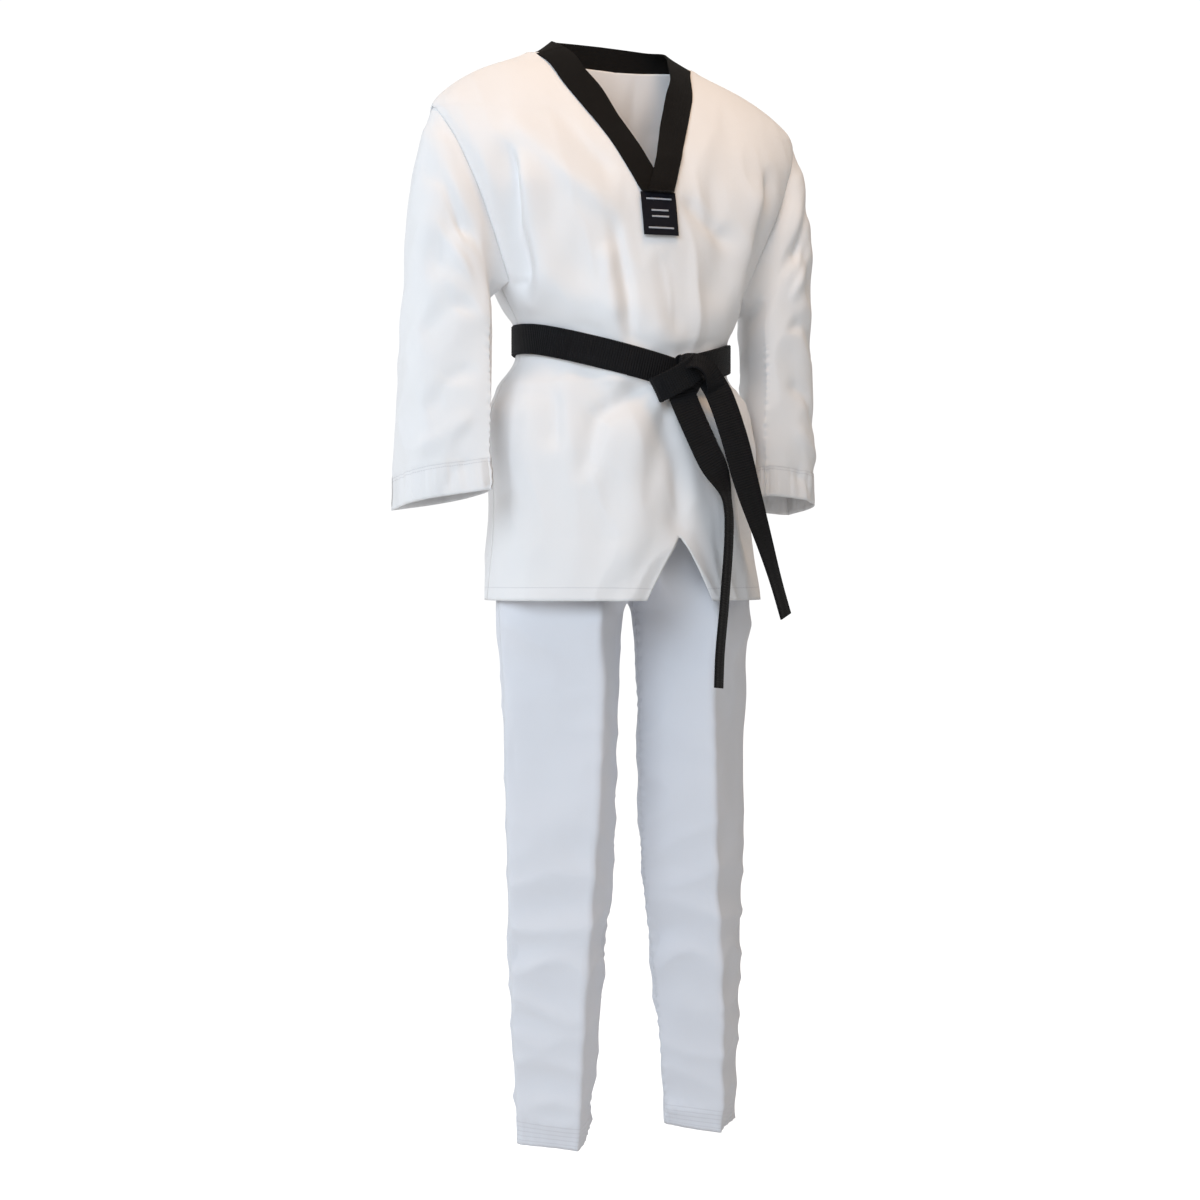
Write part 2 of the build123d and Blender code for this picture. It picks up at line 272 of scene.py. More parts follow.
def armhole_x(z):
    """Half width of the jacket's body: its side, then the armhole seam, then the shoulder."""
    seam = ARMPIT.x + (SHOULDER.x - ARMPIT.x) * (z - ARMPIT.z) / (SHOULDER.z - ARMPIT.z)
    return np.where(z < ARMPIT.z, torso_half(z), np.minimum(seam, torso_half(z)))


def torso_y(x, z, front):
    """Depth of the jacket's surface at a place seen from the front."""
    across = np.clip(np.abs(x) / torso_half(z), 0, 1)
    power = torso_power(z)
    depth = np.where(front, torso_front(z), torso_back(z)) - torso_middle(z)
    return torso_middle(z) + depth * (1 - across**power) ** (1 / power)


KNOT = Vector((0.020, -0.134, -0.048))
BELT_RISE = 0.27  # climb of the belt away from the knot, for each unit round the waist
WAIST_RADIUS = 0.135  # of a circle about as long as one wrap of the belt


def from_knot(x, front):
    """Distance round the waist from the knot."""
    turn = np.arcsin(np.clip(np.asarray(x) / WAIST_HALF, -1, 1))
    turn = np.where(front, turn, pi - turn) - KNOT.x / WAIST_HALF
    return WAIST_RADIUS * np.abs((turn + pi) % (2 * pi) - pi)


def belt_line(x, front):
    """Height of the belt's middle: level behind, and dipping to the knot in front."""
    rising = KNOT.z + 0.008 + BELT_RISE * from_knot(x, front)
    level = 0.002 - 0.060 * np.asarray(x)
    return 0.5 * (rising + level - np.sqrt((rising - level) ** 2 + 0.012**2))


SKIRT_FLARE = 0.028  # how far the skirt stands out at the sides, just below the belt
SKIRT_Z = -0.070
VENT_X = 0.014
VENT_HALF = 0.046
VENT_TOP = -0.254


def jacket_folds(x, z, front):
    """How far the jacket's cloth stands out from its smooth shape."""
    points = xyz(x * 1.6, -0.1 if front else 0.1, z * 0.6)
    out = 0.0045 * wander(points, 0.10, 3.0) + 0.0022 * crumple(points, 0.060, 8.0)
    above = z - belt_line(x, front)
    around = (x if front else 0.62 - x) / 0.3
    gathers = np.sin(around * 21 + 1.6 * np.sin(around * 7 + 1)) * 0.6 + np.sin(around * 34 + 2) * 0.4
    near = np.exp(-np.abs(above) / 0.055) * smooth_step((np.abs(above) - 0.014) / 0.02)
    out += 0.0055 * gathers * near
    out += 0.006 * bell(above - 0.055, 0.03) * smooth_step((above - 0.02) / 0.02)
    if front:
        reach = np.hypot(x - KNOT.x, z - KNOT.z)
        angle = np.arctan2(x - KNOT.x, KNOT.z - z)
        rays = np.cos(angle * 7.5 + 0.4 * np.sin(angle * 3)) * bell(reach - 0.11, 0.085) * (z < KNOT.z)
        out += 0.006 * rays
    for path, width, height in FRONT_FOLDS if front else BACK_FOLDS:
        out += fold(x, z, path, width, height)
    if front:
        from_collar = line_distance(np.abs(x), z, COLLAR_MIDDLE)[0]
        out *= (1 - 0.85 * bell(from_collar, 0.036))
    out *= smooth_step((torso_half(z) - np.abs(x)) / 0.010)
    skirt = smooth_step((-above - 0.020) / 0.045) * bell(z - SKIRT_Z, 0.085)
    return out + SKIRT_FLARE * skirt * np.clip(np.abs(x) / torso_half(z), 0, 1) ** 2


# middle of the left collar band, and of the label below it, where the cloth lies flat
COLLAR_MIDDLE = [(0.0, 0.150), (0.010, 0.210), (0.050, 0.295), (0.085, 0.365)]

# Folds drawn on the jacket as (x, z) paths, with a width and a height. A negative height is a valley.
FRONT_FOLDS = [
    ([(-0.196, 0.268), (-0.186, 0.150), (-0.150, 0.036)], 0.013, -0.021),
    ([(-0.172, 0.250), (-0.158, 0.140), (-0.126, 0.036)], 0.016, 0.014),
    ([(-0.220, 0.262), (-0.205, 0.190), (-0.186, 0.110)], 0.008, 0.006),
    ([(-0.185, 0.305), (-0.120, 0.220), (-0.045, 0.150)], 0.018, 0.008),
    ([(-0.140, 0.330), (-0.095, 0.255), (-0.050, 0.200)], 0.012, -0.004),
    ([(-0.066, 0.170), (-0.050, 0.070), (-0.040, -0.010)], 0.010, -0.009),
    ([(-0.075, 0.130), (-0.066, 0.070), (-0.060, 0.010)], 0.013, 0.006),
    ([(0.030, 0.195), (0.075, 0.160), (0.130, 0.130)], 0.013, -0.006),
    ([(0.200, 0.262), (0.180, 0.190), (0.160, 0.110), (0.146, 0.040)], 0.012, -0.012),
    ([(0.176, 0.250), (0.146, 0.160), (0.116, 0.040)], 0.018, 0.008),
    ([(0.085, 0.240), (0.095, 0.140), (0.080, 0.020)], 0.022, -0.005),
    ([(0.000, 0.130), (0.012, 0.070), (0.020, 0.000)], 0.016, -0.005),
    ([(-0.022, -0.058), (-0.085, -0.100), (-0.112, -0.190)], 0.013, -0.011),
    ([(-0.010, -0.075), (-0.045, -0.170), (-0.055, -0.330)], 0.024, 0.011),
    ([(0.006, -0.080), (0.016, -0.160), (0.014, -0.270)], 0.018, -0.012),
    ([(0.045, -0.080), (0.085, -0.170), (0.105, -0.320)], 0.022, 0.011),
    ([(0.085, -0.070), (0.130, -0.150), (0.150, -0.310)], 0.017, -0.010),
    ([(-0.118, -0.020), (-0.126, -0.080), (-0.136, -0.150)], 0.009, -0.008),
    ([(-0.140, -0.030), (-0.158, -0.150), (-0.172, -0.320)], 0.018, 0.006),
]
BACK_FOLDS = [
    ([(-0.190, 0.240), (-0.120, 0.130), (-0.060, 0.030)], 0.020, 0.009),
    ([(0.190, 0.240), (0.115, 0.120), (0.050, 0.030)], 0.020, 0.009),
    ([(-0.160, 0.190), (-0.110, 0.090), (-0.090, 0.030)], 0.012, -0.010),
    ([(0.165, 0.180), (0.120, 0.090), (0.085, 0.030)], 0.012, -0.010),
    ([(0.0, 0.200), (0.010, 0.100), (-0.010, 0.030)], 0.022, -0.007),
    ([(-0.080, -0.030), (-0.100, -0.150), (-0.115, -0.320)], 0.020, 0.010),
    ([(-0.030, -0.030), (-0.034, -0.130), (-0.045, -0.260)], 0.014, -0.008),
    ([(0.030, -0.030), (0.035, -0.170), (0.045, -0.325)], 0.022, -0.010),
    ([(0.100, -0.030), (0.120, -0.160), (0.130, -0.310)], 0.018, 0.010),
]


SIDE_STRIP = 0.1  # share of a panel's columns, at each side, that close it under the armpit
YOKE_ROWS = 40
BODY_ROWS = 160
JACKET_COLUMNS = 161


def jacket_rows(front):
    """Rows of one jacket panel, from the shoulders down to the hem, and which of its cells are cloth."""
    heights = np.concatenate([
        np.linspace(NECK_Z, SHOULDER.z, YOKE_ROWS)[:-1],
        np.linspace(SHOULDER.z, HEM_Z, BODY_ROWS),
    ])
    share = np.linspace(-1, 1, JACKET_COLUMNS)
    z = np.repeat(heights[:, None], len(share), axis=1)
    edge = armhole_x(z)
    seam_turn = np.arcsin(np.clip(edge / torso_half(z), 0, 1) ** (torso_power(z) / 2))
    armpit_turn = seam_turn[np.argmin(heights > ARMPIT.z) - 1, 0]
    seam_turn = np.where(z < ARMPIT.z, armpit_turn, seam_turn)
    inner = np.clip(share / (1 - SIDE_STRIP), -1, 1)[None, :]
    outer = np.clip((np.abs(share) - 1 + SIDE_STRIP) / SIDE_STRIP, 0, 1) * np.sign(share)
    turn = seam_turn * inner + (pi / 2 - seam_turn) * outer[None, :]
    x = torso_half(z) * bulge(np.sin(turn), torso_power(z))
    y = torso_y(x, z, front)
    out = jacket_folds(x, z, front)
    edge_fade = smooth_step((edge - np.abs(x)) / 0.012)
    above_armpit = smooth_step((z - ARMPIT.z + 0.02) / 0.03)
    out *= (1 - above_armpit * (1 - edge_fade))
    length = np.hypot(x, y) + 1e-6
    points = xyz(x * (1 + out / length), y * (1 + out / length), z)
    in_strip = np.abs(share[1:] + share[:-1]) / 2 > 1 - SIDE_STRIP
    cloth = ~(in_strip[None, :] & (heights[1:, None] > ARMPIT.z))
    return points, cloth


NECK_HOLE_Z = [0.215, 0.285, 0.320, 0.345, 0.365, 0.378, NECK_Z]
NECK_HOLE_X = [0.0, 0.042, 0.062, 0.076, 0.088, 0.100, 0.111]


def neck_hole_x(z):
    """Half width of the cut neck, under the middle of the collar bands."""
    return np.interp(z, NECK_HOLE_Z, NECK_HOLE_X)


def open_vent(points):
    """Slides the hem's cloth apart on each side of the vent."""
    x, z = points[..., 0], points[..., 2]
    gap = VENT_HALF * np.clip((VENT_TOP - z) / (VENT_TOP - HEM_Z), 0, 1) ** 0.9
    side = np.sign(x - VENT_X)
    moved = points.copy()
    moved[..., 0] = x + side * gap * np.exp(-np.abs(x - VENT_X) / 0.09)
    return moved


def cell_middles(values):
    """Average of the four corners of each cell."""
    return 0.25 * (values[1:, 1:] + values[1:, :-1] + values[:-1, 1:] + values[:-1, :-1])


def build_jacket(material):
    back, back_cloth = jacket_rows(False)
    front, front_cloth = jacket_rows(True)
    x = front[..., 0]
    height = cell_middles(front[..., 2])
    in_neck = (np.abs(cell_middles(x)) < neck_hole_x(height)) & (height > NECK_HOLE_Z[0])
    crosses_vent = (height < VENT_TOP) & (x[1:, 1:] > VENT_X) & (x[1:, :-1] < VENT_X)
    keep = front_cloth & ~(in_neck | crosses_vent)
    front_piece = grid_mesh("jacket_front", open_vent(front), keep=keep)
    back_piece = grid_mesh("jacket_back", back[:, ::-1], keep=back_cloth[:, ::-1])
    for piece in (front_piece, back_piece):
        make_cloth(piece, material)
        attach(piece, "uniform")
    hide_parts("jacket_front_panel", "jacket_hem_layer_front")
    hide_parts("jacket_back_panel", "jacket_hem_layer_back")


# ---- sleeves ----
# centre, half axis outwards, half axis backwards and crease sharpness, from armhole to cuff. X is outwards.
RIGHT_SLEEVE = [
    ((0.238, 0.004, 0.150), (0.046, 0.002, 0.098), (0.002, 0.058, -0.002), 0.2),
    ((0.246, 0.002, 0.070), (0.053, 0.007, 0.052), (0.006, 0.066, -0.003), 0.5),
    ((0.252, -0.002, -0.030), (0.054, 0.012, 0.012), (0.012, 0.067, -0.006), 0.8),
    ((0.257, -0.008, -0.125), (0.050, 0.018, -0.002), (0.017, 0.069, -0.008), 1.0),
    ((0.260, -0.014, -0.204), (0.045, 0.022, -0.006), (0.021, 0.071, -0.010), 1.1),
]
# the left sleeve hangs turned a little inwards, with its cuff rounder
LEFT_SLEEVE = [
    ((0.236, 0.006, 0.150), (0.046, 0.002, 0.098), (0.002, 0.058, -0.002), 0.2),
    ((0.240, 0.004, 0.070), (0.053, 0.005, 0.052), (0.004, 0.060, -0.003), 0.5),
    ((0.241, 0.000, -0.030), (0.054, 0.008, 0.012), (0.004, 0.056, -0.006), 0.8),
    ((0.2405, -0.004, -0.125), (0.056, 0.009, -0.002), (0.004, 0.054, -0.008), 0.9),
    ((0.2395, -0.008, -0.204), (0.056, 0.010, -0.006), (0.003, 0.053, -0.010), 0.9),
]
# folds on a sleeve, as metres round it from the shoulder line and metres down it
SLEEVE_FOLDS = [
    ([(0.310, 0.040), (0.370, 0.085), (0.405, 0.170)], 0.014, -0.008),
    ([(0.335, 0.080), (0.385, 0.060), (0.440, 0.075)], 0.012, -0.007),
    ([(0.330, 0.125), (0.390, 0.110), (0.450, 0.135)], 0.013, 0.006),
    ([(0.325, 0.160), (0.370, 0.175), (0.420, 0.225)], 0.011, -0.006),
    ([(0.330, 0.240), (0.375, 0.262), (0.410, 0.310)], 0.010, -0.005),
    ([(0.345, 0.300), (0.390, 0.330), (0.430, 0.345)], 0.012, 0.004),
    ([(0.330, 0.360), (0.370, 0.372), (0.405, 0.420)], 0.009, -0.004),
    ([(0.060, 0.120), (0.120, 0.150), (0.190, 0.140)], 0.013, -0.006),
    ([(0.050, 0.210), (0.120, 0.235), (0.200, 0.225)], 0.013, 0.005),
    ([(0.070, 0.300), (0.130, 0.320), (0.190, 0.300)], 0.012, -0.005),
]
SLEEVE_GIRTH = 0.45
SLEEVE_ROWS = 105
SLEEVE_COLUMNS = 96
CUFF_BAND = 0.041
RIGHT_CREASE = radians(60)
LEFT_CREASE = radians(44)


def armhole_loop(turns):
    """The armhole seam, just inside the jacket, from the shoulder tip down behind and up in front."""
    z = (SHOULDER.z + ARMPIT.z) / 2 + (SHOULDER.z - ARMPIT.z) / 2 * np.cos(turns)
    x = armhole_x(z)
    y = torso_y(x, z, np.sin(turns) < 0)
    return xyz(x - 0.0015, y * 0.985, z)


def sleeve_loop(centre, outwards, backwards, sharpness, turns, crease):
    """Flattened loop with a pressed crease at both ends of its longer way across."""
    centre, outwards, backwards = (np.array(v) for v in (centre, outwards, backwards))
    short = backwards * cos(crease) - outwards * sin(crease)
    bend = np.sin(turns - crease)
    loop = centre + outwards * np.cos(turns)[:, None] + backwards * np.sin(turns)[:, None]
    return loop - short * (bend * (1 - np.abs(bend) ** sharpness))[:, None]


def sleeve_points(keys, crease):
    turns = np.linspace(0, 2 * pi, SLEEVE_COLUMNS, endpoint=False)
    loops = [armhole_loop(turns)]
    loops = loops + [sleeve_loop(*row, turns, crease) for row in keys]
    points = through(loops, SLEEVE_ROWS)
    middle = points.mean(axis=1, keepdims=True)
    down = np.linspace(0, 1, len(points))[:, None] + 0 * turns[None, :]
    away = unit(points - middle)
    length = np.linalg.norm(middle[-1, 0] - middle[0, 0])
    out = 0.0040 * wander(points * np.array([1.5, 1.5, 0.7]), 0.085, 5.0)
    out += 0.0026 * crumple(points * np.array([1.0, 1.0, 0.8]), 0.052, 2.0)
    from_crease = np.abs(turns - crease - pi)[None, :]
    puckers = np.sin(down * 190 + 2 * np.sin(down * 31)) * bell(from_crease - 0.10, 0.12)
    out += 0.0016 * puckers * smooth_step((down - 0.30) * 4)
    round_sleeve = turns[None, :] / (2 * pi) * SLEEVE_GIRTH + 0 * down
    for path, width, height in SLEEVE_FOLDS:
        out += fold(round_sleeve, down * length, path, width, height)
    out *= smooth_step(down * 14)
    in_cuff = smooth_step((down * length - length + CUFF_BAND) / 0.003)
    ripples = np.sin(turns * 58 + 4 * np.sin(turns * 5))[None, :] * smooth_step((1 - down) * 60)
    out = out * (1 - 0.2 * in_cuff) + in_cuff * (0.0016 * ripples + 0.0004)
    return points + away * out[..., None]


def build_sleeves(material):
    left = sleeve_points(LEFT_SLEEVE, LEFT_CREASE)
    right = sleeve_points(RIGHT_SLEEVE, RIGHT_CREASE) * np.array([-1, 1, 1])
    for side, points in (("left", left), ("right", right[:, ::-1])):
        piece = grid_mesh(f"sleeve_{side}_cloth", points, around=True)
        make_cloth(piece, material)
        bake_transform(piece)
        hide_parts(f"sleeve_{side}", f"cuff_layer_{side}")


# ---- trousers ----
# height, middle x, middle y, half width, half depth in front, half depth behind, roundness of the crease,
# and how far the crease lies outwards of the middle, as a share of the half width
LEG = [
    (-0.350, 0.0975, -0.019, 0.0845, 0.095, 0.092, 0.58, -0.15),
    (-0.440, 0.0975, -0.020, 0.0795, 0.092, 0.088, 0.40, -0.26),
    (-0.560, 0.0970, -0.022, 0.0770, 0.088, 0.084, 0.32, -0.20),
    (-0.680, 0.0975, -0.022, 0.0740, 0.082, 0.078, 0.27, -0.11),
    (-0.860, 0.1045, -0.024, 0.0620, 0.074, 0.068, 0.24, -0.07),
    (LEG_HEM_Z, 0.1090, -0.024, 0.0490, 0.064, 0.064, 0.20, -0.10),
]
# height, half width, front, back of the seat
SEAT = [
    (WAISTBAND_TOP_Z, 0.134, 0.094, 0.072),
    (-0.020, 0.134, 0.094, 0.072),
    (-0.080, 0.141, 0.098, 0.076),
    (-0.200, 0.165, 0.105, 0.084),
    (-0.260, 0.173, 0.107, 0.087),
    (-0.298, 0.1765, 0.107, 0.087),
]
CROTCH_Z = -0.300
FLAT_TOP_Z = -0.215
TROUSER_ROWS = 230
TROUSER_COLUMNS = 61
FLAT_SHARE = 0.26  # share of a panel's width that lies against the other leg at the crotch


def leg_loop(row, share, front):
    """Half a trouser leg, from the inseam round to the side seam, with a pressed crease in the middle."""
    height, x_mid, y_mid, half, front_depth, back_depth, roundness, crease = row
    across = -np.cos(pi * share)
    depth = -front_depth if front else back_depth
    oval = np.sqrt(1 - across**2)
    from_crease = across - crease * oval**2
    shape = oval * roundness + (1 - np.abs(from_crease)) * (1 - roundness)
    return xyz(x_mid + half * across, y_mid + depth * shape, height)


def seat_loop(row, share, front):
    """Half of the seat on one side: the flat part between the legs, then half of the hips' oval."""
    height, half, front_depth, back_depth = row
    depth = -front_depth if front else back_depth
    turn = np.clip((share - FLAT_SHARE) / (1 - FLAT_SHARE), 0, 1) * pi / 2
    inner = np.clip(share / FLAT_SHARE, 0, 1)
    y_mid = -0.015
    x = 0.0012 + (half - 0.0012) * bulge(np.sin(turn), 2.15)
    y = np.where(share < FLAT_SHARE, y_mid + (depth - y_mid) * inner, depth * bulge(np.cos(turn), 2.15))
    y = np.where(share < FLAT_SHARE, y, y + y_mid * smooth_step(turn / (pi / 2)) * 0.8)
    return xyz(x, y, height)


def leg_points(front):
    share = np.linspace(0, 1, TROUSER_COLUMNS)
    loops = [seat_loop(row, share, front) for row in SEAT] + [leg_loop(row, share, front) for row in LEG]
    points = through(loops, TROUSER_ROWS)
    height = points[..., 2]
    first = FLAT_SHARE * (1 - smooth_step((FLAT_TOP_Z - height[:, :1]) / (FLAT_TOP_Z - CROTCH_Z)))
    wanted = first + (1 - first) * share[None, :]
    for row in range(len(points)):
        points[row] = np.stack([np.interp(wanted[row], share, points[row, :, i]) for i in range(3)], axis=-1)
    x_mid = points[:, -1:, 0] * 0.5
    away = points - xyz(x_mid, -0.02, points[:, :1, 2])
    away[..., 2] = 0
    away = away / np.maximum(np.linalg.norm(away, axis=2, keepdims=True), 1e-6)
    below = smooth_step((CROTCH_Z + 0.02 - height) / 0.08)
    out = 0.0024 * wander(points * np.array([1.2, 1.2, 0.55]), 0.10, 11.0 + front)
    lower = 0.55 + 0.45 * smooth_step((-0.62 - height) / 0.2)
    out += below * lower * 0.0060 * crumple(points * np.array([0.8, 0.8, 1.2]), 0.075, 6.0 + front)
    out += 0.005 * np.exp(-np.abs(wanted - 0.45) / 0.05) * smooth_step((-0.27 - height) / 0.08)
    edge = np.minimum(wanted, 1 - wanted)
    out *= smooth_step(edge * 9)
    puckers = np.sin(height * 400 + 2.5 * np.sin(height * 37)) * bell(wanted - 0.035, 0.035) * below
    out += 0.0016 * puckers
    hem = smooth_step((LEG_HEM_Z + 0.036 - height) / 0.003)
    out += 0.0006 * hem * np.sin(wanted * 60)
    return points + away * out[..., None]


def build_trousers(material):
    for front in (True, False):
        face = "front" if front else "back"
        left = leg_points(front)
        for side, sign in (("left", 1), ("right", -1)):
            points = left * np.array([sign, 1, 1])
            if (sign > 0) == front:
                points = points[:, ::-1]
            piece = grid_mesh(f"trouser_{side}_{face}", points)
            make_cloth(piece, material)
            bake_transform(piece)
            nodes = [f"leg_{side}_{face}", f"seat_{side}_{face}"]
            if front:
                nodes.append(f"leg_hem_layer_{side}")
            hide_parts(*nodes)


# ---- collar and label ----
# left side, from the point of the V up over the shoulder and round to the middle of the back
COLLAR_OUTER_FRONT = [(0.026, 0.202), (0.056, 0.269), (0.081, 0.316), (0.095, 0.344)]
COLLAR_OUTER_REST = [
    (0.1055, -0.001, 0.3765),
    (0.1170, 0.022, NECK_Z - 0.0005),
    (0.1180, 0.046, NECK_Z - 0.005),
    (0.0970, 0.066, NECK_Z - 0.008),
    (0.0565, 0.0765, NECK_Z - 0.010),
    (0.0, 0.0800, NECK_Z - 0.010),
]
COLLAR_INNER_FRONT = [(0.0, 0.228), (0.032, 0.302), (0.048, 0.339), (0.063, 0.365)]
COLLAR_INNER_DEPTH = (-0.096, -0.060, -0.043, -0.026)
COLLAR_INNER_REST = [
    (0.0695, -0.006, 0.3880),
    (0.0790, 0.018, 0.4050),
    (0.0830, 0.038, COLLAR_TOP_Z - 0.006),
    (0.0690, 0.057, COLLAR_TOP_Z - 0.002),
    (0.0410, 0.067, COLLAR_TOP_Z + 0.001),
    (0.0, 0.069, COLLAR_TOP_Z + 0.002),
]
COLLAR_ROWS = 190
COLLAR_COLUMNS = 14
COLLAR_LIFT = 0.0030
COLLAR_THICK = 0.0026
COLLAR_JOIN = 0.62  # share of the collar's half length, where the front band meets the back band


def on_chest(x, z, lift):
    """Depth of a place that lies a little outside the folded cloth of the jacket's front."""
    y = torso_y(x, z, True)
    return y * (1 + (jacket_folds(x, z, True) + lift) / np.hypot(x, y))


def collar_strip():
    """Points of the left half of the collar: rows along its length, columns from outer to inner edge."""
    outer = np.array(COLLAR_OUTER_FRONT)
    depth = torso_y(outer[:, 0], outer[:, 1], True) - COLLAR_LIFT
    outer = np.concatenate([xyz(outer[:, 0], depth, outer[:, 1]), COLLAR_OUTER_REST])
    inner = np.array(COLLAR_INNER_FRONT)
    inner = np.concatenate([xyz(inner[:, 0], COLLAR_INNER_DEPTH, inner[:, 1]), COLLAR_INNER_REST])
    line = through(np.stack([outer, inner], axis=1), COLLAR_ROWS)
    share = np.linspace(0, 1, COLLAR_COLUMNS)[None, :, None]
    return line[:, :1] * (1 - share) + line[:, 1:] * share


def clear_of_chest(points, lift):
    """Brings points that lie inside the jacket's front out in front of it."""
    x, y, z = points[..., 0], points[..., 1], points[..., 2]
    on_front = (z < NECK_Z - 0.006) & (np.abs(x) < 0.97 * torso_half(z)) & (y < 0.02)
    return xyz(x, np.where(on_front, np.minimum(y, on_chest(x, z, lift)), y), z)


def extend_band(band):
    """Carries the front end of a band straight down past the point of the V, to the label."""
    step = (band[0] - band[6]) / 6
    rows = [band[0] + step * count for count in range(18, 0, -1)]
    longer = np.concatenate([np.array(rows), band])
    longer[..., 2] = np.maximum(longer[..., 2], LABEL_HIGH.z + 0.002)
    return longer


def build_collar(material):
    strip = collar_strip()
    join = int(len(strip) * COLLAR_JOIN)
    left = extend_band(strip[: join + 1])
    right = clear_of_chest(left * np.array([-1, 1, 1]), COLLAR_LIFT)
    left = clear_of_chest(left, COLLAR_LIFT)
    crossing = smooth_step((0.262 - left[..., 2]) / 0.020)
    left[..., 1] -= crossing * COLLAR_THICK * 0.9
    behind = strip[join:]
    back = np.concatenate([behind, behind[::-1][1:] * np.array([-1, 1, 1])])
    for name, points in (("left", left), ("right", right[:, ::-1]), ("back", back)):
        piece = grid_mesh(f"collar_{name}", points)
        make_cloth(piece, material, COLLAR_THICK)
        rounded = piece.modifiers.new("rounded", "BEVEL")
        rounded.width = 0.0007
        rounded.segments = 2
        rounded.limit_method = "ANGLE"
        rounded.angle_limit = radians(50)
        apply_modifiers(piece)
        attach(piece, "uniform")
        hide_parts(f"collar_band_{name}")


LABEL_LIFT = 0.0060
LABEL_TILT = radians(1.5)
LABEL_BARS = [(0.019, 0.018), (0.004, 0.012), (-0.004, 0.012), (-0.019, 0.018)]  # height and half length


def build_label(material, thread):
    """Woven patch with four plain bars."""
    width = LABEL_HIGH.x - LABEL_LOW.x
    height = LABEL_HIGH.z - LABEL_LOW.z

    def place(across, up, lift):
        x = across * cos(LABEL_TILT) - up * sin(LABEL_TILT)
        z = LABEL_HIGH.z - height / 2 + across * sin(LABEL_TILT) + up * cos(LABEL_TILT)
        return xyz(x, on_chest(x, z, lift), z)

    rows = np.linspace(height / 2, -height / 2, 40)
    columns = np.linspace(-width / 2, width / 2, 36)
    up, across = np.meshgrid(rows, columns, indexing="ij")
    patch = grid_mesh("label_patch", place(across, up, LABEL_LIFT))
    make_cloth(patch, material, 0.0018)
    made = [patch]
    for number, (level, reach) in enumerate(LABEL_BARS):
        along, edge = np.meshgrid(np.linspace(-reach, reach, 20), [-0.0011, 0.0011], indexing="ij")
        bar = place(along, level + edge, LABEL_LIFT + 0.0005)
        piece = grid_mesh(f"label_mark_{number}", bar)
        make_cloth(piece, thread, 0.0006)
        made.append(piece)
    for piece in made:
        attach(piece, "uniform")
    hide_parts("chest_label")


# ---- belt ----
STRAP_POINTS = 25  # points across each face of a strap
WRAP_POINTS = 220
UPRIGHT_POINTS = 60


def strap_mesh(name, centres, across, width=BELT_WIDTH, thick=BELT_THICK, closed=False):
    """Thick strap along a line of centres. across is the direction of its width, at each centre or at all."""
    across = np.broadcast_to(across, centres.shape)
    run = np.gradient(centres, axis=0)
    if closed:
        run = np.roll(centres, -1, axis=0) - np.roll(centres, 1, axis=0)
    run = unit(run)
    across = unit(across - run * (across * run).sum(axis=1, keepdims=True))
    normal = np.cross(run, across)
    face = np.linspace(-1, 1, STRAP_POINTS)
    ribs = 0.00022 * np.cos(face * pi * 11)
    rim = thick / 2 * np.sqrt(np.clip(1 - np.abs(face) ** 24, 0, 1))
    rim = rim + ribs * (np.abs(face) < 0.97)
    a = np.concatenate([face, face[-2:0:-1]]) * width / 2
    b = np.concatenate([rim, -rim[-2:0:-1]])
    points = centres[:, None] + across[:, None] * a[None, :, None] + normal[:, None] * b[None, :, None]
    piece = grid_mesh(name, points, around=True, caps=not closed, ring=closed)
    length = np.concatenate([[0], np.cumsum(np.linalg.norm(np.diff(centres, axis=0), axis=1))])
    set_uv(piece, np.repeat(a[None, :], len(centres), 0), np.repeat(length[:, None], len(a), 1))
    piece.data.shade_smooth()
    return piece


def wrap_line(lift):
    """Closed line round the waist, lying lift outside the jacket."""
    turns = np.linspace(0, 2 * pi, WRAP_POINTS, endpoint=False)
    x = (WAIST_HALF + lift) * bulge(np.cos(turns), 2.1)
    front = np.sin(turns) < 0
    y = np.where(front, WAIST_FRONT + lift, WAIST_BACK + lift) * bulge(np.sin(turns), 2.1)
    return xyz(x, y, belt_line(x * WAIST_HALF / (WAIST_HALF + lift), front))


def build_wraps():
    """The belt's two turns round the waist."""
    made = []
    for name, lift in (("inner", 0.0022), ("outer", 0.0052)):
        piece = strap_mesh(f"belt_wrap_{name}", wrap_line(lift), (0, 0, 1), closed=True)
        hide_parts(f"belt_{name}_wrap")
        made.append(piece)
    return made


